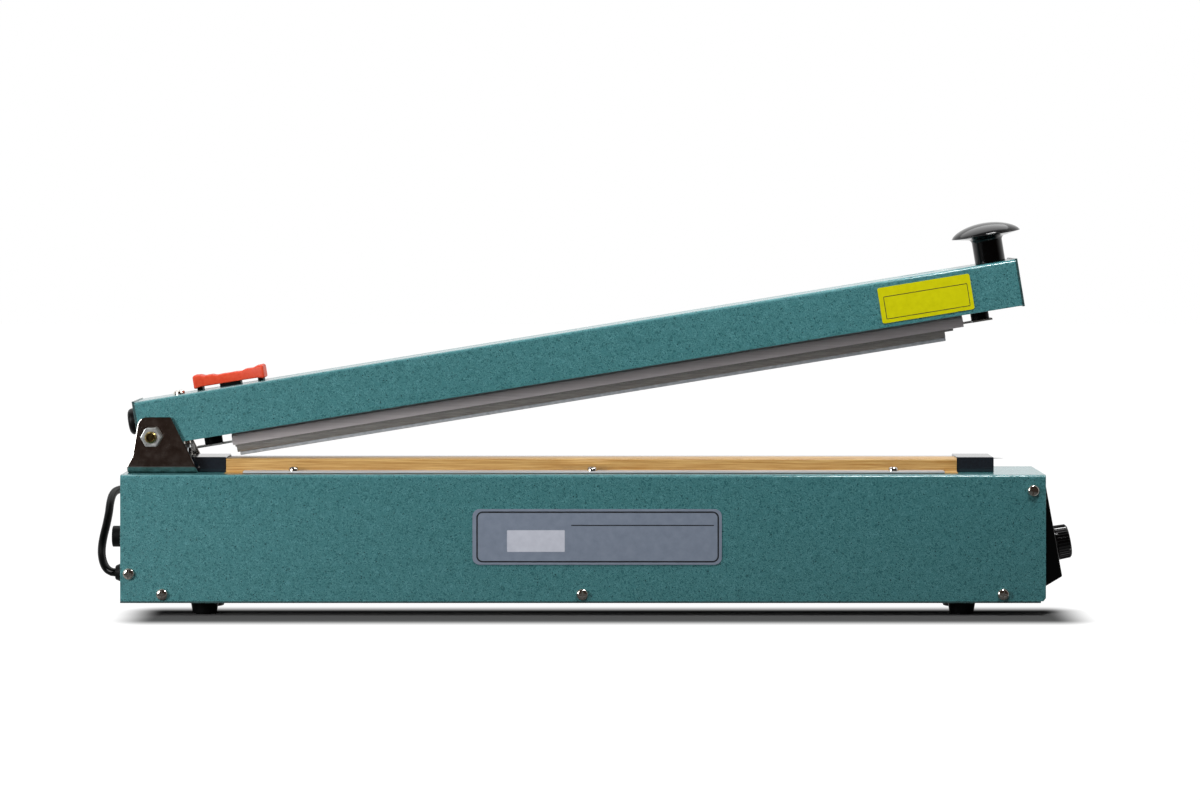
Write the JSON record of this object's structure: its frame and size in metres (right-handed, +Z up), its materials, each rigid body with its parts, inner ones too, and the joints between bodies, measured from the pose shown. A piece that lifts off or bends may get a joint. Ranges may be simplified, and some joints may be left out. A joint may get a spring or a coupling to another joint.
{
  "type": "tabletop impulse sealer",
  "caption": "Long sheet-metal bench sealer with a heated jaw, a hinged pressing arm, a sliding bag cutter, a timer dial and a mains cord.",
  "frame": {"origin": "on the table under the middle of the object's box without its cord", "axes": "+X from the hinge end to the timer end, -Y the front, +Z up"},
  "size_m": [0.7015, 0.1763, 0.2767],
  "materials": {
    "hammertone_paint": "hammertone enamel",
    "dark_plate": "painted",
    "rubber": "moulded",
    "zinc_steel": "zinc plated",
    "chrome": "polished",
    "jaw_aluminium": "extruded, anodised",
    "brass": "turned",
    "black_plastic": "moulded",
    "gloss_black": "polished moulding",
    "red_grip": "moulded",
    "lamp_red": "clear moulding",
    "ptfe_fabric": "coated glass cloth",
    "silicone": "moulded silicone",
    "base_plate_label": "printed film",
    "yellow_label": "printed film",
    "core_steel": "stacked sheet",
    "copper_winding": "enamelled wire",
    "circuit_board": "resist",
    "cord_jacket": "extruded",
    "blade_steel": "ground"
  },
  "bodies": {
    "base": {"base_cover": "hammertone_paint", "bottom_plate": "dark_plate", "left_end_panel": "hammertone_paint", "right_end_panel": "hammertone_paint", "rubber_feet": "rubber", "floor_screws": "zinc_steel", "cover_screws": "zinc_steel", "base_label": "base_plate_label", "transformer_core": "core_steel", "transformer_winding": "copper_winding", "timer_board": "circuit_board", "microswitch": "black_plastic", "inner_wiring": "cord_jacket", "potentiometer": "zinc_steel", "signal_lamp": "lamp_red", "timer_housing": "black_plastic", "fuse_holder": "black_plastic", "seal_bar": "jaw_aluminium", "under_tape": "ptfe_fabric", "heating_element": "zinc_steel", "ptfe_cover": "ptfe_fabric", "clamp_strips": "jaw_aluminium", "strip_screws": "zinc_steel", "end_blocks": "black_plastic", "element_posts": "brass", "hinge_bracket": "chrome", "bracket_screws": "zinc_steel", "plunger_bush": "brass", "cord_gland": "black_plastic", "power_cord": "cord_jacket", "cord_hank": "cord_jacket", "cord_tie": "black_plastic", "power_plug": "black_plastic", "plug_pins": "brass"},
    "hinge_core": {"hinge_bolt": "zinc_steel", "hinge_nut": "zinc_steel", "hinge_fork": "zinc_steel", "return_spring": "zinc_steel"},
    "arm": {"arm_channel": "hammertone_paint", "arm_end_plates": "hammertone_paint", "arm_stop": "rubber", "switch_screw": "zinc_steel", "pressing_knob": "gloss_black", "knob_stud": "zinc_steel", "guide_studs": "zinc_steel", "press_springs": "zinc_steel", "arm_label": "yellow_label"},
    "press_bar": {"press_rail": "jaw_aluminium", "cushion_strip": "rubber", "pad_holder": "jaw_aluminium", "silicone_pad": "silicone", "suspension_plates": "zinc_steel", "spring_cups": "black_plastic"},
    "cutter": {"cutter_handle": "red_grip", "cutter_runner": "black_plastic", "cutter_blade": "blade_steel", "blade_screw": "zinc_steel"},
    "timer_dial": {"timer_knob": "gloss_black", "timer_shaft": "zinc_steel"},
    "plunger": {"switch_plunger": "blade_steel"}
  },
  "joints": [
    {"name": "arm_lift", "type": "hinge", "parent": "base", "child": "hinge_core", "pos_m": [-0.31022, 0, 0.1247], "axis": [0, -1, 0], "range_deg": [0, 102]},
    {"name": "arm_press", "type": "hinge", "parent": "hinge_core", "child": "arm", "pos_m": [-0.31022, 0, 0.1247], "axis": [0, -1, 0], "range_deg": [-9.2, 0], "stiffness_Nm_per_rad": 5, "springref_deg": 42.97},
    {"name": "press_bar_float", "type": "slide", "parent": "arm", "child": "press_bar", "axis": [-0.1599, 0, 0.9871], "range_m": [0, 0.0081], "deforming": ["press_springs"]},
    {"name": "cutter_slide", "type": "slide", "parent": "arm", "child": "cutter", "axis": [0.9871, 0, 0.1599], "range_m": [0, 0.495]},
    {"name": "timer_turn", "type": "hinge", "parent": "base", "child": "timer_dial", "pos_m": [0.32812, 0, 0.0467], "axis": [0.9841, 0, 0.1776], "range_deg": [-150, 150]},
    {"name": "plunger_travel", "type": "slide", "parent": "base", "child": "plunger", "axis": [0, 0, 1], "range_m": [-0.0031, 0]}
  ],
  "couplings": [
    {"joint": "press_bar_float", "follows": "arm_press", "m_per_rad": -0.050445},
    {"joint": "plunger_travel", "follows": "arm_press", "m_per_rad": 0.019306}
  ]
}
